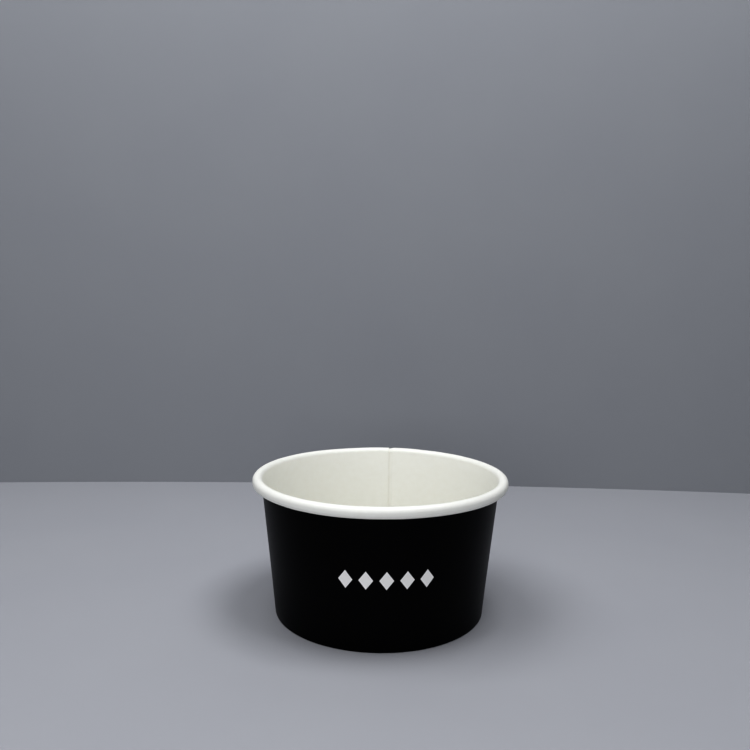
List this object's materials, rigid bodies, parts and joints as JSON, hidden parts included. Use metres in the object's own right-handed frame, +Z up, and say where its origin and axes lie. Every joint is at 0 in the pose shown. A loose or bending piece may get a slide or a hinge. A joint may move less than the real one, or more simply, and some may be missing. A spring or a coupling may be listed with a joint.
{
  "type": "paper dessert cup",
  "caption": "Short tapered paper dessert cup with a rolled rim, a lapped side seam, a folded foot and a bottom board set in above the table.",
  "frame": {"origin": "centre of the foot ring, on the plane that the cup stands on", "axes": "+Z up along the cup's axis, through its mouth; -Y towards the printed front; +Y towards the side seam; +X to the right of someone who faces the print"},
  "size_m": [0.095, 0.095, 0.0519],
  "materials": {
    "printed_board": "black flexo-printed coated cup board outside, white polyethylene-coated board on the rim and inside, satin",
    "white_board": "white polyethylene-coated cup board, satin"
  },
  "bodies": {
    "root": {"sidewall": "printed_board", "bottom_disc": "white_board"}
  },
  "joints": []
}
